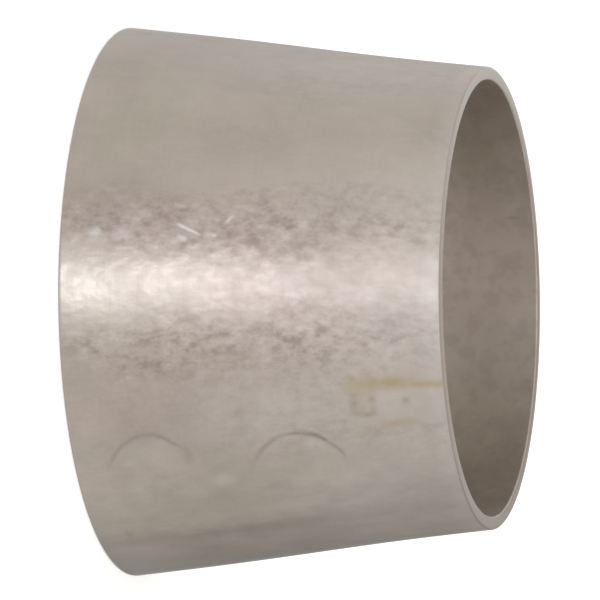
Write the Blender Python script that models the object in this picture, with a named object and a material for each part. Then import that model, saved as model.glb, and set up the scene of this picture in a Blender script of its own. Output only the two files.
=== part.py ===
"""Concentric tapered sleeve: a thin stainless weld fitting that joins two tube sizes on one axis.

The real fitting is one piece. A length of thin tube is pressed down over a cone, which thickens its
wall towards the small end. Its two ends are cut square to the axis, and their edges are broken.
Nothing is fastened to it and nothing moves.

Frame: metres, +Z up along the sleeve's axis. The origin is the centre of the large end's face, on
which the sleeve stands. The small end faces +Z.
"""

import math

import bmesh
import bpy

# Driving dimensions.
LARGE_END_DIAMETER = 0.0762  # outside, 3 in tube
SMALL_END_DIAMETER = 0.0635  # outside, 2 1/2 in tube
LENGTH = 0.0508  # face to face, 2 in
LARGE_END_WALL = 0.00165  # square to the wall, 16 gauge
SMALL_END_WALL = 0.00180  # the same wall, thickened where the press drew the tube in
PRESS_EASE = 0.00011  # how far the pressed wall swings out of and into a true cone
OUTER_EDGE_BREAK = 0.00030
INNER_EDGE_BREAK = 0.00025

# Fineness of the mesh.
TURN_STEPS = 120
WALL_SPANS = 8
SMOOTH_UNDER = math.radians(30)

# Finish of pickled, unpolished stainless steel.
STEEL_COLOUR = (0.42, 0.39, 0.36, 1.0)
STEEL_ROUGHNESS = 0.38
STEEL_METALLIC = 1.0

HALF_ANGLE = math.atan((LARGE_END_DIAMETER - SMALL_END_DIAMETER) / 2 / LENGTH)


def clear_scene():
    """Removes every object that the scene starts with."""
    for thing in list(bpy.data.objects):
        bpy.data.objects.remove(thing, do_unlink=True)


def outer_radius(height):
    """Outside radius of the wall: a cone whose middle runs a little steeper than its ends."""
    share = height / LENGTH
    cone = (LARGE_END_DIAMETER * (1 - share) + SMALL_END_DIAMETER * share) / 2
    return cone + PRESS_EASE * math.sin(2 * math.pi * share)


def inner_radius(height):
    """Radius of the bore: the outside less the wall, as a cut square to the axis shows it."""
    share = height / LENGTH
    wall = LARGE_END_WALL * (1 - share) + SMALL_END_WALL * share
    return outer_radius(height) - wall / math.cos(HALF_ANGLE)


def wall_section():
    """Corners of the wall's section in the XZ plane: up the outside, then down the inside."""
    heights = [LENGTH * span / WALL_SPANS for span in range(WALL_SPANS + 1)]
    outside = [(outer_radius(height), 0.0, height) for height in heights]
    inside = [(inner_radius(height), 0.0, height) for height in reversed(heights)]
    return outside + inside


def turn_section(mesh, corners):
    """Adds the closed outline to the mesh and spins it once round the sleeve's axis."""
    points = [mesh.verts.new(corner) for corner in corners]
    outline = [mesh.edges.new(pair) for pair in zip(points, points[1:] + points[:1])]
    bmesh.ops.spin(
        mesh,
        geom=points + outline,
        cent=(0.0, 0.0, 0.0),
        axis=(0.0, 0.0, 1.0),
        angle=math.tau,
        steps=TURN_STEPS,
        use_merge=True,
    )
    bmesh.ops.recalc_face_normals(mesh, faces=mesh.faces)


def rim_edges(mesh, height, radius):
    """The ring of edges that runs round the axis at this height and radius."""
    touch = LARGE_END_WALL / 10

    def on_ring(vertex):
        at_height = abs(vertex.co.z - height) < touch
        return at_height and abs(math.hypot(vertex.co.x, vertex.co.y) - radius) < touch

    return [edge for edge in mesh.edges if all(on_ring(vertex) for vertex in edge.verts)]


def break_edges(mesh):
    """Cuts the small chamfers that deburring leaves on both sides of both end faces."""
    for height in (0.0, LENGTH):
        for radius, width in (
            (outer_radius(height), OUTER_EDGE_BREAK),
            (inner_radius(height), INNER_EDGE_BREAK),
        ):
            bmesh.ops.bevel(
                mesh,
                geom=rim_edges(mesh, height, radius),
                offset=width,
                offset_type="OFFSET",
                segments=1,
                profile=0.5,
                affect="EDGES",
                material=-1,
            )


def steel():
    """Bare stainless steel as a Principled BSDF."""
    material = bpy.data.materials.new("pickled_stainless")
    material.use_nodes = True
    shader = material.node_tree.nodes["Principled BSDF"]
    shader.inputs["Base Color"].default_value = STEEL_COLOUR
    shader.inputs["Roughness"].default_value = STEEL_ROUGHNESS
    shader.inputs["Metallic"].default_value = STEEL_METALLIC
    return material


def tapered_sleeve():
    """The whole fitting: one turned wall, open at both ends."""
    mesh = bmesh.new()
    turn_section(mesh, wall_section())
    break_edges(mesh)
    data = bpy.data.meshes.new("tapered_sleeve")
    mesh.to_mesh(data)
    mesh.free()
    data.shade_smooth()
    data.set_sharp_from_angle(angle=SMOOTH_UNDER)
    data.materials.append(steel())
    sleeve = bpy.data.objects.new("tapered_sleeve", data)
    bpy.context.scene.collection.objects.link(sleeve)
    return sleeve


def main():
    clear_scene()
    tapered_sleeve()


main()
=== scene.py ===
"""Looks of a concentric tapered sleeve: one thin wall of pickled, unpolished stainless steel.

The sleeve stands on its large end, at the origin, with its axis along +Z. The camera lies on its
side, so that the axis runs level across the picture with the small end at the right. Sizes are
in metres. Finishes and marks on the wall use millimetres, and a mark's place is an angle round the
axis, in degrees, and a height above the large end. Angle 0 faces -Y and positive angles turn
towards -X.
"""

import logging
import math
from collections.abc import Iterable, Mapping, Sequence
from dataclasses import dataclass
from enum import Enum
from typing import Any, Union

import bmesh
import bpy
from mathutils import Matrix, Vector, noise


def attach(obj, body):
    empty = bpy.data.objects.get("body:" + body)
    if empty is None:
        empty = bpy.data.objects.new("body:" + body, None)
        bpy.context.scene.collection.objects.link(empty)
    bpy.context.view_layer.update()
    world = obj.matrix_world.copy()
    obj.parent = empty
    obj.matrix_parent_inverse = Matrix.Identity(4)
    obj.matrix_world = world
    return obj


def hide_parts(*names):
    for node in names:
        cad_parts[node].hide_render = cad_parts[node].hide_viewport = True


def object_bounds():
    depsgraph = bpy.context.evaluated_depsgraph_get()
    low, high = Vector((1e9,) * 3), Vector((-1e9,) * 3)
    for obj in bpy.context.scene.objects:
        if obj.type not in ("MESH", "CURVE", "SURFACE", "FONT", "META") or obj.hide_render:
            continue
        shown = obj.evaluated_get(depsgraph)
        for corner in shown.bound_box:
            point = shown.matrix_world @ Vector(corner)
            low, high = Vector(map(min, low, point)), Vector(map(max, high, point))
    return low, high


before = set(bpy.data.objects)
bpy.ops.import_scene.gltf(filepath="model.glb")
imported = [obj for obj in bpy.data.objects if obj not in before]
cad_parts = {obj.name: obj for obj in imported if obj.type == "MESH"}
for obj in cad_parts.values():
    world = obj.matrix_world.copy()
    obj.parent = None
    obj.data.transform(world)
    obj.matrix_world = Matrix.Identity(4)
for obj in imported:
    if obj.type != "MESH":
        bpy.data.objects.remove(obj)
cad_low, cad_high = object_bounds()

log = logging.getLogger("tapered_sleeve")

MILLIMETRE = 0.001
MICROMETRE = 0.000001

LARGE_END_DIAMETER = 0.0762
SMALL_END_DIAMETER = 0.0635
LENGTH = cad_high.z - cad_low.z
OUTER_EDGE_BREAK = 0.00030

Colour = tuple[float, float, float]
Number = Union["Wire", float]


def rise(value: float, low: float, high: float) -> float:
    """A smooth step from 0 at low to 1 at high."""
    share = min(1.0, max(0.0, (value - low) / (high - low)))
    return share * share * (3 - 2 * share)


class Wire:
    """A value on its way through a shader, which can take part in sums."""

    def __init__(self, board: "ShaderBoard", socket: bpy.types.NodeSocket) -> None:
        """Keeps the output that carries the value.

        Args:
            board: The shader that the value belongs to.
            socket: The node's output that gives it.
        """
        self.board = board
        self.socket = socket

    def sum_with(self, operation: str, first: Number, second: Number) -> "Wire":
        """Adds one Math node.

        Args:
            operation: The Math node's operation.
            first: Its first value.
            second: Its second value.

        Returns:
            The node's result.
        """
        return self.board.node(
            "ShaderNodeMath", {"operation": operation}, {0: first, 1: second}
        )

    def __add__(self, other: Number) -> "Wire":
        """self + other."""
        return self.sum_with("ADD", self, other)

    def __radd__(self, other: Number) -> "Wire":
        """other + self."""
        return self.sum_with("ADD", other, self)

    def __sub__(self, other: Number) -> "Wire":
        """self - other."""
        return self.sum_with("SUBTRACT", self, other)

    def __rsub__(self, other: Number) -> "Wire":
        """other - self."""
        return self.sum_with("SUBTRACT", other, self)

    def __mul__(self, other: Number) -> "Wire":
        """self * other."""
        return self.sum_with("MULTIPLY", self, other)

    def __rmul__(self, other: Number) -> "Wire":
        """other * self."""
        return self.sum_with("MULTIPLY", other, self)

    def __truediv__(self, other: Number) -> "Wire":
        """self / other."""
        return self.sum_with("DIVIDE", self, other)

    def __rtruediv__(self, other: Number) -> "Wire":
        """other / self."""
        return self.sum_with("DIVIDE", other, self)

    def __pow__(self, other: Number) -> "Wire":
        """self to the power other."""
        return self.sum_with("POWER", self, other)


class ShaderBoard:
    """A node tree that is wired up from Python."""

    def __init__(self, tree: bpy.types.NodeTree) -> None:
        """Starts on a tree.

        Args:
            tree: The node tree that takes the nodes.
        """
        self.tree = tree

    def node(
        self,
        kind: str,
        settings: Mapping[str, Any],
        sockets: Mapping[str | int, Any],
        output: str | int = 0,
    ) -> Wire:
        """Adds a node.

        Args:
            kind: The node's type.
            settings: Its properties.
            sockets: Values or wires for its inputs, by name or number.
            output: The output that is wanted.

        Returns:
            That output.
        """
        made = self.tree.nodes.new(kind)
        for name, value in settings.items():
            setattr(made, name, value)
        for key, value in sockets.items():
            self.feed(made.inputs[key], value)
        return Wire(self, made.outputs[output])

    def feed(self, target: bpy.types.NodeSocket, value: Any) -> None:
        """Links a wire to an input, or sets its value.

        Args:
            target: The input.
            value: A wire, a number or a tuple of numbers.
        """
        if isinstance(value, Wire):
            self.tree.links.new(value.socket, target)
        elif target.type == "RGBA" and len(value) == 3:
            target.default_value = (*value, 1.0)
        else:
            target.default_value = value

    def math(self, operation: str, first: Number, second: Number = 0.0) -> Wire:
        """One Math node for what has no operator, such as SINE or MAXIMUM."""
        return self.node("ShaderNodeMath", {"operation": operation}, {0: first, 1: second})

    def clamp(self, value: Wire) -> Wire:
        """The value held between 0 and 1."""
        return self.node("ShaderNodeClamp", {}, {"Value": value})

    def step(self, value: Wire, low: float, high: float) -> Wire:
        """A smooth step from 0 at low to 1 at high; with low above high it falls instead."""
        sockets = {"Value": value, "From Min": low, "From Max": high}
        return self.node("ShaderNodeMapRange", {"interpolation_type": "SMOOTHSTEP"}, sockets)

    def hump(self, distance: Wire, spread: float) -> Wire:
        """A smooth hump that is 1 where the distance is 0 and about a third at one spread."""
        share = distance / spread
        return self.math("EXPONENT", share * share * -1.0)

    def blend(self, factor: Number, first: Any, second: Any, kind: str = "MIX") -> Wire:
        """Mixes two colours.

        Args:
            factor: How much of the second colour, from 0 to 1.
            first: A colour or a wire that carries one.
            second: Another.
            kind: The Mix node's blending mode.

        Returns:
            The mixed colour.
        """
        return self.node(
            "ShaderNodeMix",
            {"data_type": "RGBA", "blend_type": kind},
            {"Factor": factor, 6: first, 7: second},
            output=2,
        )


@dataclass(frozen=True)
class Grain:
    """One kind of unevenness in the steel: its size, and what it does to the look."""

    along: float  # blotches to the millimetre along the axis
    round_wall: float  # blotches to the millimetre round the wall
    detail: float = 1.0  # octaves of finer noise on top
    harshness: float = 0.5  # how strong those octaves are
    shade: float = 0.0  # how far it lightens and darkens the steel
    worn_shade: float = 0.0  # the same, for what grows on the worn side
    rough: float = 0.0  # how far it raises and lowers the steel's roughness
    relief: float = 0.0  # micrometres from hollow to crest


@dataclass(frozen=True)
class Sieve:
    """Picks out the strong parts of some mixed grains, or the weak ones if low is above high."""

    shares: tuple[tuple[Grain, float], ...]  # how much of each grain is in the mix
    low: float  # the level of the mix where the parts begin
    high: float  # the level where they are full
    least: float = 0.0  # how strong the mask stays outside them, from 0 to 1


@dataclass(frozen=True)
class Wear:
    """What one kind of mark does to the steel where the mark is strongest."""

    colour: Colour  # the colour that it turns towards
    share: float  # how far it turns, from 0 to 1
    rough: float = 0.0  # what it adds to the steel's roughness
    relief: float = 0.0  # micrometres that it stands above the wall


@dataclass(frozen=True)
class PunchMark:
    """The print of a round punch that leaned, so that only its upper rim bit into the wall."""

    angle: float  # the punch's centre, degrees round the wall
    height: float  # the punch's centre, mm above the large end
    radius: float  # mm
    depth: float  # mm at the upper rim, running out downwards
    rim: float  # mm, half the width of the step down into the print
    stain: float  # how dark the rim is, partly a stain and partly painted shade of the step, from 0 to 1
    lean: float  # how much darker it is towards the small end, from -1 to 1


@dataclass(frozen=True)
class Streak:
    """A soft straight mark along or across the outer wall."""

    angle: float  # the middle, degrees round the wall
    height: float  # the middle, mm above the large end
    length: float  # mm, half of it, before the ends fade
    spread: float  # mm, half the width
    turn: float  # degrees from the sleeve's axis
    strength: float = 1.0


@dataclass(frozen=True)
class Patch:
    """A soft-edged area of the wall."""

    angle: float  # the middle, degrees round the wall
    height: float  # the middle, mm above the large end
    half_turn: float  # degrees to where it has faded to about a third
    half_length: float  # mm to where it has faded to about a third
    strength: float = 1.0  # below 0 where it takes away from the patches round it


class WallChart:
    """Places on the wall as a shader sees them: millimetres round it and along it."""

    RIM_BLUR = 1.3  # how much wider a print's dark rim is than the step beside it
    RIM_TOP = 0.75  # how far up, in radii, a print's rim reaches its full strength
    STREAK_BODY = 0.4  # the share of a streak's half length that doesn't fade

    def __init__(self, board: ShaderBoard) -> None:
        """Reads the object's own coordinates.

        Args:
            board: The shader that the chart is drawn in.
        """
        self.board = board
        raw = board.node("ShaderNodeTexCoord", {}, {}, "Object")
        scale = 1 / MILLIMETRE
        self.place = board.node(
            "ShaderNodeMapping", {}, {"Vector": raw, "Scale": (scale, scale, scale)}
        )
        parts = board.node("ShaderNodeSeparateXYZ", {}, {"Vector": self.place})
        x = Wire(board, parts.socket.node.outputs["X"])
        y = Wire(board, parts.socket.node.outputs["Y"])
        self.height = Wire(board, parts.socket.node.outputs["Z"])
        self.radius = board.math("SQRT", x * x + y * y)
        self.angle = board.math("ARCTAN2", x * -1.0, y * -1.0)

    def grain(self, kind: Grain, place: Wire | None = None) -> Wire:
        """Noise of one kind, from 0 to 1 and about 0.5 on average.

        Args:
            kind: What the noise is like.
            place: Coordinates in millimetres that stand in for the place on the wall.

        Returns:
            The noise.
        """
        scale = (kind.round_wall, kind.round_wall, kind.along)
        stretched = self.board.node(
            "ShaderNodeMapping", {}, {"Vector": place or self.place, "Scale": scale}
        )
        sockets = {"Vector": stretched, "Scale": 1.0}
        sockets |= {"Detail": kind.detail, "Roughness": kind.harshness}
        return self.board.node("ShaderNodeTexNoise", {}, sockets, "Fac")

    def grains(self, kinds: Iterable[Grain]) -> dict[Grain, Wire]:
        """The noise of each of these kinds."""
        return {kind: self.grain(kind) for kind in kinds}

    def turned(self, angle: float) -> Wire:
        """Radians round the wall from this angle in degrees, from -pi to pi."""
        sockets = {0: self.angle - math.radians(angle), 1: math.pi, 2: -math.pi}
        return self.board.node("ShaderNodeMath", {"operation": "WRAP"}, sockets)

    def aside(self, angle: float) -> Wire:
        """Millimetres round the wall from this angle, in degrees."""
        return self.turned(angle) * self.radius

    def rim(self, mark: PunchMark, wobble: Wire) -> Wire:
        """1 on the upper rim of a punch mark, fading to 0 beside and below it.

        Args:
            mark: The punch mark.
            wobble: Millimetres by which the rim strays from a true circle.

        Returns:
            The mask.
        """
        across = self.aside(mark.angle)
        along = self.height - mark.height
        distance = self.board.math("SQRT", across * across + along * along) + wobble
        line = self.board.hump(distance - mark.radius, self.RIM_BLUR * mark.rim)
        weight = 1.0 + along * (mark.lean / mark.radius)
        return line * self.board.step(across / mark.radius, 0.0, self.RIM_TOP) * weight

    def streak(self, mark: Streak) -> Wire:
        """1 along a streak, fading to 0 at its sides and ends.

        Args:
            mark: The streak.

        Returns:
            The mask.
        """
        across = self.aside(mark.angle)
        along = self.height - mark.height
        turn = math.radians(mark.turn)
        run = along * math.cos(turn) + across * math.sin(turn)
        side = across * math.cos(turn) - along * math.sin(turn)
        body = self.board.hump(side, mark.spread)
        reach = self.board.math("ABSOLUTE", run)
        ends = self.board.step(reach, mark.length, mark.length * self.STREAK_BODY)
        return body * ends * mark.strength

    def patch(self, mark: Patch) -> Wire:
        """1 in the middle of a patch, fading to 0 outside it.

        Args:
            mark: The patch.

        Returns:
            The mask.
        """
        across = self.turned(mark.angle) / math.radians(mark.half_turn)
        along = (self.height - mark.height) / mark.half_length
        near = self.board.math("EXPONENT", (across * across + along * along) * -1.0)
        return near * mark.strength

    def patches(self, marks: Sequence[Patch]) -> Wire:
        """The sum of several patches."""
        first, *others = [self.patch(mark) for mark in marks]
        return sum(others, start=first)


class Surface(Enum):
    """The three kinds of surface on the sleeve, by their material's place on the mesh."""

    OUTSIDE = 0
    BORE = 1
    CUT = 2


PUNCH_MARKS = (
    PunchMark(angle=-38.0, height=10.3, radius=5.7, depth=0.020, rim=0.28, stain=0.85, lean=-0.15),
    PunchMark(angle=-42.0, height=30.0, radius=6.4, depth=0.022, rim=0.28, stain=1.0, lean=0.35),
    PunchMark(angle=-40.0, height=44.6, radius=5.4, depth=0.008, rim=0.40, stain=0.25, lean=-0.2),
)


class Finish:
    """A material for one surface of the sleeve, wired up by its subclasses."""

    title: str

    def dress(self) -> bpy.types.Material:
        """Makes the material.

        Returns:
            A material whose Principled shader the finish has wired.
        """
        material = bpy.data.materials.new(self.title)
        material.use_nodes = True
        board = ShaderBoard(material.node_tree)
        shader = material.node_tree.nodes["Principled BSDF"]
        shader.inputs["Metallic"].default_value = 1.0
        self.wire(board, WallChart(board), shader)
        log.info("finish %s: %d nodes", self.title, len(material.node_tree.nodes))
        return material

    def wire(self, board: ShaderBoard, chart: WallChart, shader: bpy.types.Node) -> None:
        """Wires the shader's inputs.

        Args:
            board: The material's node tree.
            chart: Places on the wall.
            shader: The Principled shader.
        """
        raise NotImplementedError

    @staticmethod
    def ragged(noise_wire: Wire, share: float) -> Wire:
        """A factor about 1 that rises and falls with a noise, by this share from end to end."""
        return (noise_wire - 0.5) * share + 1.0

    @staticmethod
    def sift(board: ShaderBoard, grains: Mapping[Grain, Wire], sieve: Sieve) -> Wire:
        """Finds the parts of some mixed grains that a sieve picks out.

        Args:
            board: The material's node tree.
            grains: The noise of each kind.
            sieve: The mix, and its levels.

        Returns:
            A mask from the sieve's least to 1.
        """
        first, *others = [grains[kind] * share for kind, share in sieve.shares]
        parts = board.step(sum(others, start=first), sieve.low, sieve.high)
        return parts * (1 - sieve.least) + sieve.least if sieve.least else parts

    @staticmethod
    def colour_with(board: ShaderBoard, colour: Wire, marks: Mapping[Wear, Wire]) -> Wire:
        """Lays marks over a colour, one on top of another.

        Args:
            board: The material's node tree.
            colour: The clean steel's colour.
            marks: Where each kind of mark is, from 0 to 1.

        Returns:
            The marked steel's colour.
        """
        for wear, mask in marks.items():
            colour = board.blend(mask * wear.share, colour, wear.colour)
        return colour

    @staticmethod
    def roughness_with(
        base: Number, grains: Mapping[Grain, Wire], marks: Mapping[Wear, Wire]
    ) -> Number:
        """Adds to a roughness what the grains and the marks add to it.

        Args:
            base: The clean steel's roughness.
            grains: The noise of each kind.
            marks: Where each kind of mark is, from 0 to 1.

        Returns:
            The roughness.
        """
        for kind, noise_wire in grains.items():
            if kind.rough:
                base = base + (noise_wire - 0.5) * kind.rough
        for wear, mask in marks.items():
            if wear.rough:
                base = base + mask * wear.rough
        return base

    @staticmethod
    def raise_relief(
        board: ShaderBoard,
        shader: bpy.types.Node,
        grains: Mapping[Grain, Wire],
        marks: Mapping[Wear, Wire],
    ) -> None:
        """Feeds the relief of the grains and the marks to the shader's normal.

        Args:
            board: The material's node tree.
            shader: The Principled shader.
            grains: The noise of each kind.
            marks: Where each kind of mark is, from 0 to 1.
        """
        layers = (*grains.items(), *marks.items())
        first, *others = [wire * kind.relief for kind, wire in layers if kind.relief]
        relief = sum(others, start=first)
        sockets = {"Strength": 1.0, "Distance": MICROMETRE, "Height": relief}
        board.feed(shader.inputs["Normal"], board.node("ShaderNodeBump", {}, sockets))


@dataclass(frozen=True)
class PickledOutside(Finish):
    """The outer wall: dull pickled steel with clouding, scuffed bands partly of painted shade,
    painted glints, painted shade bands, scratches and stains.
    """

    title: str = "pickled_outside"
    length: float = LENGTH / MILLIMETRE
    grey: Colour = (0.405, 0.355, 0.312)
    green: Colour = (0.396, 0.358, 0.302)
    rosy: Colour = (0.420, 0.353, 0.315)
    lilac: Colour = (0.388, 0.352, 0.326)
    pale: Wear = Wear((0.60, 0.57, 0.54), 1.0)
    # dark scuffs, and painted shade where the light shows the mottling beside the highlight
    scuffed: Wear = Wear((0.19, 0.15, 0.13), 0.60, rough=0.05, relief=-4.0)
    # painted highlight: light glints between the dark spots of the scuffed areas
    glinting: Wear = Wear((0.60, 0.57, 0.54), 0.22)
    scraped: Wear = Wear((0.80, 0.77, 0.735), 0.60, rough=-0.12, relief=-6.0)
    stained: Wear = Wear((0.392, 0.318, 0.194), 0.92, rough=0.04)
    rusty: Wear = Wear((0.25, 0.19, 0.125), 0.56)
    # the punch marks' dark rims: partly a stain, partly painted shade of the step into each print
    pinched: Wear = Wear((0.19, 0.15, 0.13), 0.48)
    edge_tint: Colour = (0.80, 0.80, 0.80)
    large_end_roughness: float = 0.345
    small_end_roughness: float = 0.505
    # the painted shade bands: how far they darken the steel, and how much rougher they make it
    dull_shade: float = -0.13
    dull_rough: float = 0.05
    tint_drift: Grain = Grain(0.13, 0.13, 2.0)
    tint_freckle: Grain = Grain(0.42, 0.42, 2.0)
    tint_ragged: float = 0.9
    green_levels: tuple[float, float] = (0.40, 0.60)
    green_share: float = 0.5
    drift: Grain = Grain(0.09, 0.09, worn_shade=0.20)
    cloud: Grain = Grain(0.20, 0.26, worn_shade=0.10, rough=0.14)
    mottle: Grain = Grain(0.36, 0.48, 1.5, worn_shade=0.16, relief=62.0)
    fleck: Grain = Grain(0.62, 0.90, 2.0, worn_shade=0.13, rough=0.08, relief=20.0)
    speck: Grain = Grain(1.7, 2.3)
    grit: Grain = Grain(4.2, 4.2, shade=0.06)
    draw_lines: Grain = Grain(0.12, 2.2, 2.0, 0.6, shade=0.08, relief=3.0)
    turn_lines: Grain = Grain(3.4, 0.14, 2.0, 0.6, shade=0.07, relief=5.0)
    scuff_streaks: Grain = Grain(0.05, 0.16, 2.0)
    scuff_ragged: float = 1.5
    pale_ragged: float = 1.0
    dull_ragged: float = 0.8
    streaky: Sieve = Sieve(((scuff_streaks, 1.0),), 0.46, 0.62)
    tones: Sieve = Sieve(((cloud, 0.15), (mottle, 0.35), (fleck, 0.35), (speck, 0.15)), 0.36, 0.62)
    spots: Sieve = Sieve(((mottle, 0.35), (fleck, 0.50), (speck, 0.15)), 0.45, 0.66)
    # the gaps between the dark spots, where the painted glints lie
    gaps: Sieve = Sieve(((mottle, 0.3), (fleck, 0.7)), 0.45, 0.32)
    scratch_breaks: Sieve = Sieve(((fleck, 1.0),), 0.40, 0.56, 0.35)
    stain_breaks: Sieve = Sieve(((mottle, 0.5), (fleck, 0.5)), 0.38, 0.56, 0.78)
    rust_breaks: Sieve = Sieve(((mottle, 0.4), (fleck, 0.6)), 0.44, 0.58, 0.60)
    rim_breaks: Sieve = Sieve(((mottle, 1.0),), 0.38, 0.56, 0.55)
    tone_share: float = 0.60  # of the strength of the scuffs and the painted shade
    spot_share: float = 0.46
    least_scuffed: float = 0.10  # everywhere, from 0 to 1
    streaks_scuffed: float = 0.16  # on top of that, where the scuff streaks are strong
    worn_extra: float = 0.9  # how much stronger the worn shades are on the worn side
    rim_wander: float = 1.6  # mm by which the cloud moves a print's dark rim
    rim_jitter: float = 0.35  # mm by which the flecks move it
    rubbed_band: tuple[float, float] = (3.2, 0.6)  # mm from the small end, where it fades in
    rubbed_share: float = 0.15
    worn_side: Patch = Patch(angle=-34.0, height=26.0, half_turn=32.0, half_length=60.0)
    punches: tuple[PunchMark, ...] = PUNCH_MARKS
    scratches: tuple[Streak, ...] = (
        Streak(angle=15.4, height=17.2, length=2.2, spread=0.22, turn=-25.0, strength=0.90),
        Streak(angle=13.4, height=16.4, length=0.9, spread=0.38, turn=-8.0, strength=0.70),
        Streak(angle=14.4, height=20.2, length=1.2, spread=0.24, turn=-12.0, strength=0.45),
        Streak(angle=18.0, height=22.6, length=1.3, spread=0.24, turn=55.0, strength=0.65),
        Streak(angle=20.2, height=26.0, length=2.4, spread=0.40, turn=-14.0, strength=0.25),
        Streak(angle=14.6, height=5.0, length=0.7, spread=0.50, turn=40.0, strength=0.50),
        Streak(angle=12.6, height=2.2, length=0.9, spread=0.42, turn=25.0, strength=0.40),
        Streak(angle=20.6, height=16.0, length=1.2, spread=0.30, turn=-10.0, strength=0.30),
        Streak(angle=131.0, height=30.0, length=2.6, spread=0.16, turn=-35.0, strength=0.7),
        Streak(angle=-140.0, height=18.0, length=3.2, spread=0.14, turn=12.0, strength=0.6),
    )
    stains: tuple[Streak, ...] = (
        Streak(angle=-20.5, height=45.0, length=9.6, spread=0.60, turn=-1.5, strength=0.9),
        Streak(angle=-20.0, height=42.4, length=6.4, spread=1.05, turn=1.5),
        Streak(angle=-30.4, height=43.6, length=4.2, spread=0.75, turn=5.0, strength=0.40),
        Streak(angle=-32.4, height=39.4, length=2.4, spread=0.60, turn=-14.0, strength=0.28),
        Streak(angle=-25.2, height=39.8, length=2.4, spread=1.40, turn=70.0, strength=0.30),
    )
    rust_areas: tuple[Patch, ...] = (
        Patch(angle=-23.6, height=41.0, half_turn=0.9, half_length=0.50, strength=0.75),
        Patch(angle=-26.5, height=41.1, half_turn=1.1, half_length=0.60, strength=0.85),
        Patch(angle=-27.7, height=39.8, half_turn=0.8, half_length=1.4, strength=0.80),
        Patch(angle=-25.4, height=38.5, half_turn=2.6, half_length=0.60, strength=0.70),
        Patch(angle=-22.7, height=39.6, half_turn=0.7, half_length=1.2, strength=0.50),
        Patch(angle=-24.8, height=45.5, half_turn=1.0, half_length=0.55, strength=0.80),
        Patch(angle=-57.0, height=4.6, half_turn=1.2, half_length=0.6, strength=0.8),
        Patch(angle=-35.6, height=15.4, half_turn=1.3, half_length=0.7, strength=0.6),
        Patch(angle=-25.6, height=23.4, half_turn=2.8, half_length=0.8, strength=0.6),
        Patch(angle=-24.0, height=25.2, half_turn=1.6, half_length=0.9, strength=0.45),
    )
    scuffed_areas: tuple[Patch, ...] = (
        # The first six areas lie beside the highlight: painted shade of the mottling that the
        # light shows there. The others are scuffs.
        Patch(angle=17.0, height=8.0, half_turn=5.4, half_length=26.0, strength=1.0),
        Patch(angle=18.5, height=36.0, half_turn=8.0, half_length=14.0, strength=0.45),
        Patch(angle=10.0, height=26.0, half_turn=5.0, half_length=16.0, strength=0.25),
        Patch(angle=-9.5, height=9.0, half_turn=5.5, half_length=12.0, strength=0.85),
        Patch(angle=-8.5, height=36.0, half_turn=7.5, half_length=18.0, strength=0.65),
        Patch(angle=0.0, height=28.0, half_turn=5.0, half_length=12.0, strength=0.20),
        Patch(angle=-28.0, height=26.0, half_turn=12.0, half_length=30.0, strength=0.20),
        Patch(angle=105.0, height=32.0, half_turn=11.0, half_length=12.0, strength=0.30),
        Patch(angle=128.0, height=16.0, half_turn=14.0, half_length=15.0, strength=0.45),
        Patch(angle=150.0, height=38.0, half_turn=12.0, half_length=11.0, strength=0.35),
        Patch(angle=176.0, height=20.0, half_turn=14.0, half_length=16.0, strength=0.35),
        Patch(angle=-150.0, height=40.0, half_turn=14.0, half_length=12.0, strength=0.30),
        Patch(angle=-124.0, height=24.0, half_turn=13.0, half_length=18.0, strength=0.40),
        Patch(angle=-100.0, height=9.0, half_turn=12.0, half_length=11.0, strength=0.25),
    )
    rosy_areas: tuple[Patch, ...] = (
        Patch(angle=0.0, height=34.0, half_turn=32.0, half_length=24.0),
        Patch(angle=-22.0, height=10.0, half_turn=8.0, half_length=11.0, strength=0.7),
        Patch(angle=18.0, height=10.0, half_turn=7.0, half_length=16.0, strength=0.8),
        Patch(angle=150.0, height=16.0, half_turn=30.0, half_length=22.0, strength=0.8),
    )
    green_areas: tuple[Patch, ...] = (
        Patch(angle=36.0, height=7.5, half_turn=5.0, half_length=4.0),
        Patch(angle=-25.5, height=15.0, half_turn=5.0, half_length=5.0, strength=0.8),
        Patch(angle=-48.0, height=18.0, half_turn=12.0, half_length=15.0, strength=0.4),
        Patch(angle=-110.0, height=20.0, half_turn=22.0, half_length=20.0, strength=0.7),
    )
    lilac_areas: tuple[Patch, ...] = (
        Patch(angle=72.0, height=28.0, half_turn=16.0, half_length=26.0, strength=0.8),
        Patch(angle=-54.0, height=42.0, half_turn=12.0, half_length=12.0, strength=0.4),
        # painted shade: the bluish tint of the wall where it lies in shade round angle -80
        Patch(angle=-80.0, height=25.0, half_turn=8.0, half_length=40.0, strength=0.6),
    )
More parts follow.
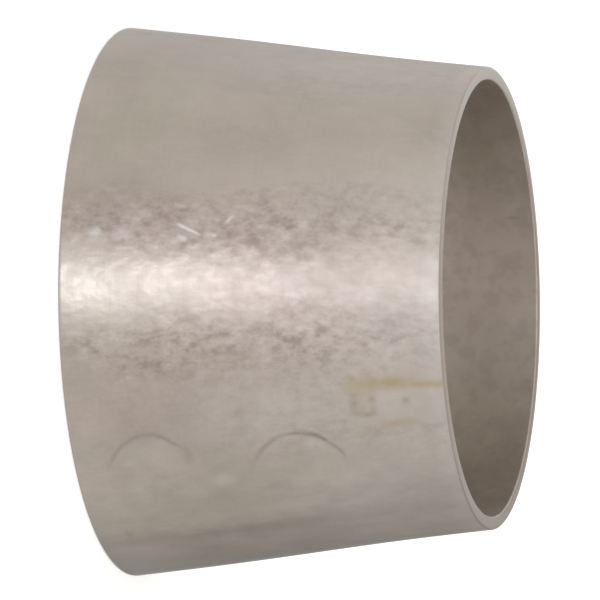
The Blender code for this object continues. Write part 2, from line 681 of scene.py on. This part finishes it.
    pale_areas: tuple[Patch, ...] = (
        Patch(angle=-22.0, height=47.0, half_turn=24.0, half_length=13.0, strength=0.34),
        Patch(angle=28.0, height=48.0, half_turn=16.0, half_length=9.0, strength=0.20),
        Patch(angle=-70.0, height=3.0, half_turn=10.0, half_length=5.0, strength=0.30),
        Patch(angle=-70.0, height=46.0, half_turn=10.0, half_length=12.0, strength=0.20),
        Patch(angle=-24.0, height=27.0, half_turn=9.0, half_length=13.0, strength=0.20),
        Patch(angle=25.0, height=34.0, half_turn=8.0, half_length=16.0, strength=0.12),
        Patch(angle=-50.0, height=38.0, half_turn=12.0, half_length=14.0, strength=0.12),
        Patch(angle=-32.4, height=10.0, half_turn=2.2, half_length=3.6, strength=0.12),
        Patch(angle=-34.8, height=32.6, half_turn=1.0, half_length=1.1, strength=0.32),
        Patch(angle=-42.3, height=19.6, half_turn=1.3, half_length=1.5, strength=0.22),
        Patch(angle=-35.8, height=7.6, half_turn=0.9, half_length=0.8, strength=0.16),
        Patch(angle=76.0, height=47.0, half_turn=16.0, half_length=13.0, strength=0.26),
        Patch(angle=67.0, height=32.0, half_turn=13.0, half_length=15.0, strength=0.22),
        Patch(angle=-27.0, height=28.0, half_turn=7.0, half_length=11.0, strength=0.14),
        Patch(angle=14.2, height=4.6, half_turn=1.1, half_length=1.0, strength=0.55),
        Patch(angle=13.6, height=8.2, half_turn=0.9, half_length=1.2, strength=0.40),
        Patch(angle=17.2, height=32.2, half_turn=1.0, half_length=0.9, strength=0.45),
    )
    # Painted shade: darker bands along the wall that stand in for the reflection of darker
    # surroundings; the wall is also a little rougher in them.
    dull_areas: tuple[Patch, ...] = (
        Patch(angle=-60.3, height=16.0, half_turn=2.4, half_length=19.0, strength=1.25),
        Patch(angle=-61.0, height=38.0, half_turn=3.0, half_length=12.0, strength=0.35),
        Patch(angle=-80.5, height=22.0, half_turn=3.0, half_length=30.0, strength=0.85),
        Patch(angle=22.0, height=6.0, half_turn=5.0, half_length=12.0, strength=0.6),
        Patch(angle=38.0, height=3.0, half_turn=16.0, half_length=8.0, strength=0.35),
        Patch(angle=105.0, height=24.0, half_turn=3.5, half_length=22.0, strength=0.5),
    )

    @staticmethod
    def strongest(board: ShaderBoard, masks: Iterable[Wire]) -> Wire:
        """The strongest of several masks at each place."""
        found, *others = masks
        for mask in others:
            found = board.math("MAXIMUM", found, mask)
        return found

    def hue(self, board: ShaderBoard, chart: WallChart) -> Wire:
        """The clean steel's colour, which drifts from place to place.

        Args:
            board: The material's node tree.
            chart: Places on the wall.

        Returns:
            The colour.
        """
        drift = board.step(chart.grain(self.tint_drift), *self.green_levels)
        ragged = self.ragged(chart.grain(self.tint_freckle), self.tint_ragged)
        colour = board.blend(drift * self.green_share, self.grey, self.green)
        for areas, tint in (
            (self.green_areas, self.green),
            (self.rosy_areas, self.rosy),
            (self.lilac_areas, self.lilac),
        ):
            share = board.clamp(chart.patches(areas) * ragged)
            colour = board.blend(share, colour, tint)
        return colour

    def scuffs(
        self, board: ShaderBoard, chart: WallChart, grains: Mapping[Grain, Wire]
    ) -> tuple[Wire, Wire]:
        """Where scuffs and painted shade leave the wall dark, and where painted glints lie between
        the dark spots.

        Args:
            board: The material's node tree.
            chart: Places on the wall.
            grains: The noise of each kind.

        Returns:
            The mask of the dark scuffs and painted shade, and that of the painted glints between
            them.
        """
        ragged = self.ragged(grains[self.scuff_streaks], self.scuff_ragged)
        areas = board.clamp(chart.patches(self.scuffed_areas) * ragged)
        everywhere = self.sift(board, grains, self.streaky) * self.streaks_scuffed
        scuffed = board.clamp(areas + everywhere + self.least_scuffed)
        tone = self.sift(board, grains, self.tones) * self.tone_share
        spots = self.sift(board, grains, self.spots) * self.spot_share
        return scuffed * (tone + spots), scuffed * self.sift(board, grains, self.gaps)

    def marks(
        self, board: ShaderBoard, chart: WallChart, grains: Mapping[Grain, Wire]
    ) -> dict[Wear, Wire]:
        """Where each kind of mark is, in the order in which they lie on one another.

        Args:
            board: The material's node tree.
            chart: Places on the wall.
            grains: The noise of each kind.

        Returns:
            The marks' masks.
        """
        begins, full = self.rubbed_band
        rubbed = board.step(chart.height, self.length - begins, self.length - full)
        pale = chart.patches(self.pale_areas) * self.ragged(grains[self.mottle], self.pale_ragged)
        scuff, glint = self.scuffs(board, chart, grains)
        scratch = self.strongest(board, map(chart.streak, self.scratches))
        stain = self.strongest(board, map(chart.streak, self.stains))
        rust = chart.patches(self.rust_areas) * self.sift(board, grains, self.rust_breaks)
        wobble = (grains[self.cloud] - 0.5) * self.rim_wander
        wobble = wobble + (grains[self.fleck] - 0.5) * self.rim_jitter
        rims = [chart.rim(mark, wobble) * mark.stain for mark in self.punches]
        rim = self.strongest(board, rims)
        return {
            self.pale: board.clamp(pale) + rubbed * self.rubbed_share,
            self.scuffed: scuff,
            self.glinting: glint,
            self.scraped: scratch * self.sift(board, grains, self.scratch_breaks),
            self.stained: stain * self.sift(board, grains, self.stain_breaks),
            self.rusty: board.clamp(rust),
            self.pinched: rim * self.sift(board, grains, self.rim_breaks),
        }

    def shade(self, chart: WallChart, grains: Mapping[Grain, Wire], dull: Wire) -> Wire:
        """How light the clean steel is at each place, about 1 on average, and darker in the bands
        of painted shade.

        Args:
            chart: Places on the wall.
            grains: The noise of each kind.
            dull: Where the bands of painted shade lie, which are also a little rougher, from 0 to
                about 1.

        Returns:
            The factor for its colour.
        """
        worn = 1.0 + chart.patch(self.worn_side) * self.worn_extra
        shade = 1.0 + dull * self.dull_shade
        for kind, noise_wire in grains.items():
            if kind.shade:
                shade = shade + (noise_wire - 0.5) * kind.shade
            if kind.worn_shade:
                shade = shade + (noise_wire - 0.5) * worn * kind.worn_shade
        return shade

    def wire(self, board: ShaderBoard, chart: WallChart, shader: bpy.types.Node) -> None:
        """Wires the outer wall's colour, roughness and relief.

        Args:
            board: The material's node tree.
            chart: Places on the wall.
            shader: The Principled shader.
        """
        shader.inputs["Specular Tint"].default_value = (*self.edge_tint, 1.0)
        broad = (self.drift, self.cloud, self.mottle, self.fleck, self.speck)
        fine = (self.grit, self.draw_lines, self.turn_lines, self.scuff_streaks)
        grains = chart.grains((*broad, *fine))
        marks = self.marks(board, chart, grains)
        ragged = self.ragged(grains[self.draw_lines], self.dull_ragged)
        # the bands of painted shade, which are also a little rougher
        dull = chart.patches(self.dull_areas) * ragged
        shade = self.shade(chart, grains, dull)
        grey = board.node("ShaderNodeCombineColor", {}, {0: shade, 1: shade, 2: shade})
        clean = board.blend(1.0, self.hue(board, chart), grey, "MULTIPLY")
        board.feed(shader.inputs["Base Color"], self.colour_with(board, clean, marks))
        slope = (self.small_end_roughness - self.large_end_roughness) / self.length
        roughness = self.large_end_roughness + chart.height * slope + dull * self.dull_rough
        roughness = self.roughness_with(roughness, grains, marks)
        board.feed(shader.inputs["Roughness"], roughness)
        self.raise_relief(board, shader, grains, marks)


@dataclass(frozen=True)
class PickledBore(Finish):
    """The inner wall: browner than the outside, evenly dull and clouded."""

    title: str = "pickled_bore"
    brown: Colour = (0.430, 0.380, 0.328)
    pale: Colour = (0.475, 0.424, 0.370)
    rosy: Colour = (0.500, 0.425, 0.388)
    olive: Colour = (0.450, 0.407, 0.340)
    smudged: Wear = Wear((0.30, 0.25, 0.22), 0.26)
    nicked: Wear = Wear((0.30, 0.25, 0.22), 0.35, relief=-5.0)
    roughness: float = 0.50
    drift: Grain = Grain(0.08, 0.08)
    cloud: Grain = Grain(0.22, 0.22, rough=0.10)
    mottle: Grain = Grain(0.42, 0.42, 1.5, rough=0.10, relief=22.0)
    fleck: Grain = Grain(1.3, 1.3, relief=4.0)
    pale_parts: Sieve = Sieve(((drift, 0.5), (cloud, 0.5)), 0.38, 0.62)
    smudges: Sieve = Sieve(((mottle, 0.7), (fleck, 0.3)), 0.42, 0.64)
    tint_ragged: float = 1.0
    rosy_areas: tuple[Patch, ...] = (
        Patch(angle=172.0, height=34.0, half_turn=24.0, half_length=22.0, strength=0.9),
        Patch(angle=-20.0, height=20.0, half_turn=30.0, half_length=22.0, strength=0.7),
    )
    olive_areas: tuple[Patch, ...] = (
        Patch(angle=-148.0, height=24.0, half_turn=22.0, half_length=26.0, strength=0.7),
        Patch(angle=125.0, height=28.0, half_turn=22.0, half_length=26.0, strength=0.7),
    )
    nick: Streak = Streak(angle=158.0, height=47.6, length=1.6, spread=0.22, turn=0.0)

    def wire(self, board: ShaderBoard, chart: WallChart, shader: bpy.types.Node) -> None:
        """Wires the bore's colour, roughness and relief.

        Args:
            board: The material's node tree.
            chart: Places on the wall.
            shader: The Principled shader.
        """
        grains = chart.grains((self.drift, self.cloud, self.mottle, self.fleck))
        colour = board.blend(self.sift(board, grains, self.pale_parts), self.brown, self.pale)
        ragged = self.ragged(grains[self.cloud], self.tint_ragged)
        for areas, tint in ((self.rosy_areas, self.rosy), (self.olive_areas, self.olive)):
            share = board.clamp(chart.patches(areas) * ragged)
            colour = board.blend(share, colour, tint)
        marks = {
            self.smudged: self.sift(board, grains, self.smudges),
            self.nicked: chart.streak(self.nick),
        }
        board.feed(shader.inputs["Base Color"], self.colour_with(board, colour, marks))
        rough = self.roughness_with(self.roughness, grains, marks)
        board.feed(shader.inputs["Roughness"], rough)
        self.raise_relief(board, shader, grains, marks)


@dataclass(frozen=True)
class TurnedCut(Finish):
    """The end faces and broken edges: cleanly cut steel with fine lathe rings, and painted shade
    round angle -120, along the outer edge breaks and by the bore round angle 178.
    """

    title: str = "turned_cut"
    dark: Colour = (0.452, 0.424, 0.394)
    light: Colour = (0.550, 0.520, 0.486)
    browned: Wear = Wear((0.50, 0.408, 0.353), 0.75)
    # the colour of the painted shade on the end faces and edge breaks
    sooty: Wear = Wear((0.260, 0.216, 0.172), 1.0)
    roughness: float = 0.40
    large_radius: float = LARGE_END_DIAMETER / 2 / MILLIMETRE
    small_radius: float = SMALL_END_DIAMETER / 2 / MILLIMETRE
    length: float = LENGTH / MILLIMETRE
    edge_break: float = OUTER_EDGE_BREAK / MILLIMETRE
    lathe: Grain = Grain(9.0, 9.0, 2.0, 0.7, rough=0.10, relief=5.0)
    cloud: Grain = Grain(0.35, 0.35, 3.0, 0.6, rough=0.12, relief=6.0)
    outer_band: tuple[float, float] = (1.15, 0.4)  # edge breaks inwards, where it fades in
    inner_band: tuple[float, float] = (1.5, 6.0)  # the same for the side by the bore
    scorch_ragged: float = 0.12
    # Painted shade: the faces darker round angle -120, and a little round angle 6, as the light
    # falls.
    stained_areas: tuple[Patch, ...] = (
        Patch(angle=-120.0, height=25.4, half_turn=105.0, half_length=400.0, strength=0.78),
        Patch(angle=6.0, height=25.4, half_turn=40.0, half_length=400.0, strength=0.26),
    )
    brown_area: Patch = Patch(angle=-6.0, height=25.4, half_turn=52.0, half_length=400.0)
    # Painted shade along the outer edge breaks, darker round 60 and -62 and lighter round 0.
    scorched_edges: tuple[Patch, ...] = (
        Patch(angle=60.0, height=25.4, half_turn=26.0, half_length=400.0, strength=0.42),
        Patch(angle=-62.0, height=25.4, half_turn=26.0, half_length=400.0, strength=0.16),
        Patch(angle=0.0, height=25.4, half_turn=34.0, half_length=400.0, strength=-0.18),
    )
    # Painted shade on the faces beside the bore round angle 178.
    bore_stain: Patch = Patch(
        angle=178.0, height=50.8, half_turn=52.0, half_length=8.0, strength=0.75
    )

    def wire(self, board: ShaderBoard, chart: WallChart, shader: bpy.types.Node) -> None:
        """Wires the cut faces' colour, roughness and relief.

        Args:
            board: The material's node tree.
            chart: Places on the wall.
            shader: The Principled shader.
        """
        rings = board.node("ShaderNodeCombineXYZ", {}, {"X": chart.radius, "Z": chart.height})
        lathe, cloud = chart.grain(self.lathe, rings), chart.grain(self.cloud)
        grains = {self.lathe: lathe, self.cloud: cloud}
        slope = (self.small_radius - self.large_radius) / self.length
        inward = self.large_radius + chart.height * slope - chart.radius
        breaks_in = inward / self.edge_break
        outer_edge = board.step(breaks_in, *self.outer_band)
        inner_side = board.step(breaks_in, *self.inner_band)
        scorched = chart.patches(self.scorched_edges) + cloud * self.scorch_ragged
        shadow = chart.patches(self.stained_areas) + outer_edge * scorched
        shadow = shadow + inner_side * chart.patch(self.bore_stain)
        marks = {self.browned: chart.patch(self.brown_area), self.sooty: board.clamp(shadow)}
        clean = board.blend(lathe * 0.5 + cloud * 0.5, self.dark, self.light)
        board.feed(shader.inputs["Base Color"], self.colour_with(board, clean, marks))
        rough = self.roughness_with(self.roughness, grains, marks)
        board.feed(shader.inputs["Roughness"], rough)
        self.raise_relief(board, shader, grains, marks)


@dataclass
class TaperedSleeve:
    """The one formed wall, with its press marks and broken edges."""

    large_end_diameter: float = LARGE_END_DIAMETER
    small_end_diameter: float = SMALL_END_DIAMETER
    large_end_wall: float = 0.00165
    small_end_wall: float = 0.00180
    press_ease: float = 0.00011
    outer_edge_break: float = OUTER_EDGE_BREAK
    inner_edge_break: float = 0.00025
    edge_rounding: int = 4
    edge_support: float = 0.00018
    waviness: float = 0.00004
    wave_length: float = 0.014
    turn_steps: int = 480
    outer_spans: int = 64
    inner_spans: int = 32
    mark_cuts: int = 3
    ragged: float = 0.25  # mm, how far a print's rim strays from its circle
    ragged_length: float = 0.0025
    print_foot: float = -0.3  # how far up, in radii, a print starts to sink in
    print_top: float = 0.9  # how far up it has reached its full depth
    print_margin: float = 0.5  # mm of finer mesh beside a print's rim
    calm_end: float = 0.1  # the share of the length in which the waviness grows from each end
    smooth_under: float = math.radians(30)
    rounded_from: float = 0.3  # how far up or down a broken edge's faces point, at the least
    flat_from: float = 0.98  # how far up or down an end face points, at the least

    def __post_init__(self) -> None:
        """Takes the length and the widest radius from the model that the sleeve is built round."""
        self.length = LENGTH
        self.widest_radius = cad_high.x
        taper = (self.large_end_diameter - self.small_end_diameter) / 2
        self.slant = 1 / math.cos(math.atan(taper / self.length))

    def cone_radius(self, height: float) -> float:
        """The outside radius of the true cone at a height."""
        share = height / self.length
        return (self.large_end_diameter * (1 - share) + self.small_end_diameter * share) / 2

    def bore_radius(self, height: float) -> float:
        """The radius of the bore at a height, for the same true cone."""
        share = height / self.length
        wall = self.large_end_wall * (1 - share) + self.small_end_wall * share
        return self.cone_radius(height) - wall * self.slant

    def section(self, mesh: bmesh.types.BMesh) -> None:
        """Draws the wall's section in the XZ plane: four corners, with its long sides divided.

        Args:
            mesh: The empty mesh that takes it.
        """
        outside = [(self.cone_radius(z), 0.0, z) for z in (0.0, self.length)]
        inside = [(self.bore_radius(z), 0.0, z) for z in (self.length, 0.0)]
        points = [mesh.verts.new(corner) for corner in (*outside, *inside)]
        sides = [mesh.edges.new(pair) for pair in zip(points, points[1:] + points[:1])]
        for side, spans in ((sides[0], self.outer_spans), (sides[2], self.inner_spans)):
            bmesh.ops.subdivide_edges(mesh, edges=[side], cuts=spans - 1)

    def turn(self, mesh: bmesh.types.BMesh) -> None:
        """Spins the section once round the axis.

        Args:
            mesh: The mesh that holds the section.
        """
        bmesh.ops.spin(
            mesh,
            geom=[*mesh.verts, *mesh.edges],
            cent=(0.0, 0.0, 0.0),
            axis=(0.0, 0.0, 1.0),
            angle=math.tau,
            steps=self.turn_steps,
            use_merge=True,
        )
        bmesh.ops.recalc_face_normals(mesh, faces=mesh.faces)

    def rim_edges(
        self, mesh: bmesh.types.BMesh, height: float, radius: float
    ) -> list[bmesh.types.BMEdge]:
        """The ring of edges at this height and radius."""
        touch = self.large_end_wall / 20

        def on_ring(vertex: bmesh.types.BMVert) -> bool:
            """True if the vertex lies on the ring."""
            at_height = abs(vertex.co.z - height) < touch
            return at_height and abs(vertex.co.xy.length - radius) < touch

        return [edge for edge in mesh.edges if all(map(on_ring, edge.verts))]

    def break_edges(self, mesh: bmesh.types.BMesh) -> None:
        """Rounds both sides of both end faces, as a deburring tool does.

        Args:
            mesh: The turned wall.
        """
        for height in (0.0, self.length):
            for radius, width in (
                (self.cone_radius(height), self.outer_edge_break),
                (self.bore_radius(height), self.inner_edge_break),
            ):
                bmesh.ops.bevel(
                    mesh,
                    geom=self.rim_edges(mesh, height, radius),
                    offset=width,
                    offset_type="OFFSET",
                    segments=self.edge_rounding,
                    profile=0.5,
                    affect="EDGES",
                    material=-1,
                )

    def support_edges(self, mesh: bmesh.types.BMesh) -> None:
        """Cuts one more ring close to each rounded edge, so that the walls stay straight up to it.

        Args:
            mesh: The wall with its edges broken.
        """
        reach = self.outer_edge_break + self.edge_support
        for height in (reach, self.length - reach):
            bmesh.ops.bisect_plane(
                mesh,
                geom=[*mesh.verts, *mesh.edges, *mesh.faces],
                plane_co=(0.0, 0.0, height),
                plane_no=(0.0, 0.0, 1.0),
            )

    def is_outside(self, place: Vector) -> bool:
        """True for a place on the outer wall, clear of its broken edges."""
        gap = self.cone_radius(place.z) - place.xy.length
        return abs(gap) < self.large_end_wall / 50

    @staticmethod
    def offset_from(mark: PunchMark, place: Vector) -> tuple[float, float]:
        """How far round the wall and along it a place lies from a punch's centre, in mm."""
        angle = math.atan2(-place.x, -place.y) - math.radians(mark.angle)
        across = angle * place.xy.length / MILLIMETRE
        return across, place.z / MILLIMETRE - mark.height

    def print_depth(self, mark: PunchMark, place: Vector) -> float:
        """How deep a punch mark is at a place, in metres: it leans, and so runs out downwards."""
        across, along = self.offset_from(mark, place)
        reach = mark.radius - math.hypot(across, along)
        if reach < -self.ragged - mark.rim:
            return 0.0
        reach += self.ragged * noise.noise(place / self.ragged_length)
        inside = rise(reach, -mark.rim, mark.rim)
        sunk = rise(across / mark.radius, self.print_foot, self.print_top)
        return mark.depth * MILLIMETRE * inside * sunk

    def refine_marks(self, mesh: bmesh.types.BMesh, marks: Sequence[PunchMark]) -> None:
        """Divides the outer wall's faces along the upper rims of the punch marks.

        Args:
            mesh: The wall.
            marks: The punch marks.
        """

        def near(mark: PunchMark, vertex: bmesh.types.BMVert) -> bool:
            """True if the vertex lies by the mark's upper rim."""
            across, along = self.offset_from(mark, vertex.co)
            margin = 2.5 * mark.rim + self.print_margin
            beside = abs(math.hypot(across, along) - mark.radius) < margin
            raised = across > self.print_foot * mark.radius
            return beside and raised and self.is_outside(vertex.co)

        for mark in marks:
            chosen = {vertex for vertex in mesh.verts if near(mark, vertex)}
            edges = [edge for edge in mesh.edges if chosen.issuperset(edge.verts)]
            bmesh.ops.subdivide_edges(
                mesh, edges=edges, cuts=self.mark_cuts, use_grid_fill=True
            )

    def press(self, mesh: bmesh.types.BMesh, marks: Sequence[PunchMark]) -> None:
        """Moves every point of the plain cone to where the press left it.

        Args:
            mesh: The wall.
            marks: The punch marks in its outer wall.
        """
        for vertex in mesh.verts:
            place = vertex.co.copy()
            radius = place.xy.length
            true_radius = self.cone_radius(place.z)
            outside = self.is_outside(place)
            if outside:
                radius = true_radius
            radius += self.press_ease * math.sin(math.tau * place.z / self.length)
            inside_ends = min(place.z, self.length - place.z) / (self.calm_end * self.length)
            spread = place.xy.normalized() * true_radius
            wave = noise.noise(Vector((*spread, place.z)) / self.wave_length)
            radius -= self.waviness * (0.5 + 0.5 * wave) * rise(inside_ends, 0.0, 1.0)
            if outside:
                radius -= sum(self.print_depth(mark, place) for mark in marks)
            vertex.co.xy = place.xy.normalized() * min(radius, self.widest_radius)

    def surface_of(self, face: bmesh.types.BMFace) -> Surface:
        """Tells which surface a face belongs to, from the way that it faces.

        The tool that broke the outer edges left them bright, like the end faces. The inner ones
        are as brown as the bore.

        Args:
            face: A face of the wall.

        Returns:
            Its surface.
        """
        steepness = abs(face.normal.z)
        if face.normal.xy.dot(face.calc_center_median().xy) > 0:
            return Surface.CUT if steepness > self.rounded_from else Surface.OUTSIDE
        return Surface.CUT if steepness > self.flat_from else Surface.BORE

    def build(self, marks: Sequence[PunchMark], finishes: Mapping[Surface, Finish]) -> None:
        """Builds the wall and puts it in the place of the plain one.

        Args:
            marks: The punch marks in its outer wall.
            finishes: The finish of each surface.
        """
        mesh = bmesh.new()
        self.section(mesh)
        self.turn(mesh)
        self.break_edges(mesh)
        self.support_edges(mesh)
        self.refine_marks(mesh, marks)
        self.press(mesh, marks)
        mesh.normal_update()
        for face in mesh.faces:
            face.material_index = self.surface_of(face).value
        data = bpy.data.meshes.new("tapered_sleeve_wall")
        mesh.to_mesh(data)
        mesh.free()
        data.shade_smooth()
        data.set_sharp_from_angle(angle=self.smooth_under)
        for surface in Surface:
            data.materials.append(finishes[surface].dress())
        wall = bpy.data.objects.new("tapered_sleeve_wall", data)
        bpy.context.scene.collection.objects.link(wall)
        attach(wall, "root")
        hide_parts("tapered_sleeve")
        data.calc_loop_triangles()
        log.info("%s: %d triangles", wall.name, len(data.loop_triangles))


@dataclass(frozen=True)
class TentPatch:
    """A soft part of the studio's tent that is brighter than the rest, or darker."""

    azimuth: float  # degrees round the sleeve, as on its wall
    elevation: float  # degrees above the floor
    width: float  # radians to where it has fallen to about 60 percent
    strength: float  # below 0 where it is darker


@dataclass
class Studio:
    """A pale light table inside a white tent, with a strip lamp by the camera."""

    floor_radius: float = 30.0
    floor_drop: float = 0.00002
    floor_segments: int = 96
    floor_white: Colour = (0.80, 0.80, 0.79)
    floor_roughness: float = 0.9
    floor_glow: float = 0.30
    tent_level: float = 1.095
    tent_colour: Colour = (1.0, 0.99, 0.975)
    tent_patches: tuple[TentPatch, ...] = (
        TentPatch(azimuth=-148.0, elevation=-4.0, width=0.52, strength=-0.60),
        TentPatch(azimuth=-70.0, elevation=0.0, width=0.45, strength=-0.07),
        TentPatch(azimuth=140.0, elevation=0.0, width=0.35, strength=0.08),
        TentPatch(azimuth=0.0, elevation=90.0, width=0.45, strength=-0.25),
    )
    strip_azimuth: float = 7.6
    strip_elevation: float = 2.0
    strip_distance: float = 0.75
    strip_size: tuple[float, float] = (0.105, 0.26)
    strip_power: float = 1.27
    strip_colour: Colour = (0.855, 0.915, 1.02)
    top_height: float = 1.3
    top_size: float = 1.1
    top_power: float = 5.0
    camera_turn: float = math.radians(14.25)
    camera_roll: float = math.radians(0.58)
    camera_distance: float = 0.883
    camera_right: float = -0.00171
    camera_lens: float = 383.5
    camera_sensor: float = 36.0
    camera_near: float = 0.05
    camera_far: float = 100.0

    @staticmethod
    def towards(azimuth: float, elevation: float) -> Vector:
        """The direction at an angle round the sleeve and above the floor, in degrees."""
        turn, lift = math.radians(azimuth), math.radians(elevation)
        return Vector(
            (
                -math.sin(turn) * math.cos(lift),
                -math.cos(turn) * math.cos(lift),
                math.sin(lift),
            )
        )

    def lay_floor(self) -> None:
        """Lays the light table that the sleeve stands on."""
        mesh = bmesh.new()
        bmesh.ops.create_circle(
            mesh,
            cap_ends=True,
            radius=self.floor_radius,
            segments=self.floor_segments,
            matrix=Matrix.Translation((0.0, 0.0, -self.floor_drop)),
        )
        data = bpy.data.meshes.new("floor")
        mesh.to_mesh(data)
        mesh.free()
        material = bpy.data.materials.new("light_table")
        material.use_nodes = True
        shader = material.node_tree.nodes["Principled BSDF"]
        shader.inputs["Base Color"].default_value = (*self.floor_white, 1.0)
        shader.inputs["Roughness"].default_value = self.floor_roughness
        shader.inputs["Emission Color"].default_value = (1.0, 1.0, 1.0, 1.0)
        shader.inputs["Emission Strength"].default_value = self.floor_glow
        data.materials.append(material)
        floor = bpy.data.objects.new("floor", data)
        floor.visible_glossy = False
        bpy.context.scene.collection.objects.link(floor)
        log.info("floor: %.0f m across", 2 * self.floor_radius)

    def raise_tent(self) -> None:
        """Surrounds the scene with a softly graded white tent."""
        world = bpy.data.worlds.new("tent")
        bpy.context.scene.world = world
        world.use_nodes = True
        board = ShaderBoard(world.node_tree)
        way = board.node("ShaderNodeTexCoord", {}, {}, "Generated")
        level: Number = self.tent_level
        for patch in self.tent_patches:
            sockets = {0: way, 1: self.towards(patch.azimuth, patch.elevation)}
            facing = board.node(
                "ShaderNodeVectorMath", {"operation": "DOT_PRODUCT"}, sockets, "Value"
            )
            near = board.math("EXPONENT", (facing - 1.0) / patch.width**2)
            level = near * patch.strength + level
        background = world.node_tree.nodes["Background"]
        background.inputs["Color"].default_value = (*self.tent_colour, 1.0)
        board.feed(background.inputs["Strength"], level)
        log.info("tent: %d patches", len(self.tent_patches))

    def hang_lamp(
        self, name: str, place: Vector, aim: Vector, size: tuple[float, float], power: float
    ) -> bpy.types.Object:
        """Hangs a rectangular softbox.

        Args:
            name: The lamp's name.
            place: Its middle.
            aim: The point that it faces.
            size: Its width and height.
            power: Its power, in watts.

        Returns:
            The lamp.
        """
        lamp = bpy.data.lights.new(name, "AREA")
        lamp.shape = "RECTANGLE"
        lamp.size, lamp.size_y = size
        lamp.energy = power
        holder = bpy.data.objects.new(name, lamp)
        bpy.context.scene.collection.objects.link(holder)
        holder.location = place
        holder.rotation_mode = "QUATERNION"
        holder.rotation_quaternion = (aim - place).to_track_quat("-Z", "Y")
        log.info("lamp %s: %.2f W", name, power)
        return holder

    def hang_lamps(self, middle: Vector) -> None:
        """Hangs the strip by the camera and the softbox overhead.

        Args:
            middle: The middle of the sleeve.
        """
        way = self.towards(self.strip_azimuth, self.strip_elevation)
        strip = self.hang_lamp(
            "strip", middle + way * self.strip_distance, middle, self.strip_size, self.strip_power
        )
        strip.data.color = self.strip_colour
        above = Vector((0.0, 0.0, self.top_height))
        top = self.hang_lamp(
            "top", above, middle, (self.top_size, self.top_size), self.top_power
        )
        top.visible_glossy = False

    def set_camera(self, middle: Vector) -> None:
        """Sets the camera on its side, with the small end turned a little towards it.

        Args:
            middle: The middle of the sleeve.
        """
        turn, roll = self.camera_turn, self.camera_roll
        back = Vector((0.0, -math.cos(turn), math.sin(turn)))
        along = Vector((0.0, math.sin(turn), math.cos(turn)))
        upwards = Vector((-1.0, 0.0, 0.0))
        right = along * math.cos(roll) - upwards * math.sin(roll)
        up = upwards * math.cos(roll) + along * math.sin(roll)
        lens = bpy.data.cameras.new("camera")
        lens.lens = self.camera_lens
        lens.sensor_width = self.camera_sensor
        lens.clip_start, lens.clip_end = self.camera_near, self.camera_far
        camera = bpy.data.objects.new("camera", lens)
        bpy.context.scene.collection.objects.link(camera)
        axes = Matrix((right, up, back)).transposed()
        place = middle + back * self.camera_distance + right * self.camera_right
        camera.matrix_world = Matrix.Translation(place) @ axes.to_4x4()
        bpy.context.scene.camera = camera
        log.info("camera: %.0f mm away", self.camera_distance / MILLIMETRE)

    def build(self, middle: Vector) -> None:
        """Sets up the floor, the light and the camera.

        Args:
            middle: The middle of the sleeve.
        """
        bpy.context.scene.view_settings.view_transform = "Standard"
        self.lay_floor()
        self.raise_tent()
        self.hang_lamps(middle)
        self.set_camera(middle)


def main() -> None:
    """Builds the sleeve, then the studio round it, and notes the sizes."""
    logging.basicConfig(level=logging.INFO, format="%(name)s: %(message)s")
    finishes = {
        Surface.OUTSIDE: PickledOutside(),
        Surface.BORE: PickledBore(),
        Surface.CUT: TurnedCut(),
    }
    TaperedSleeve().build(PUNCH_MARKS, finishes)
    Studio().build((cad_low + cad_high) / 2)


if __name__ == "__main__":
    main()
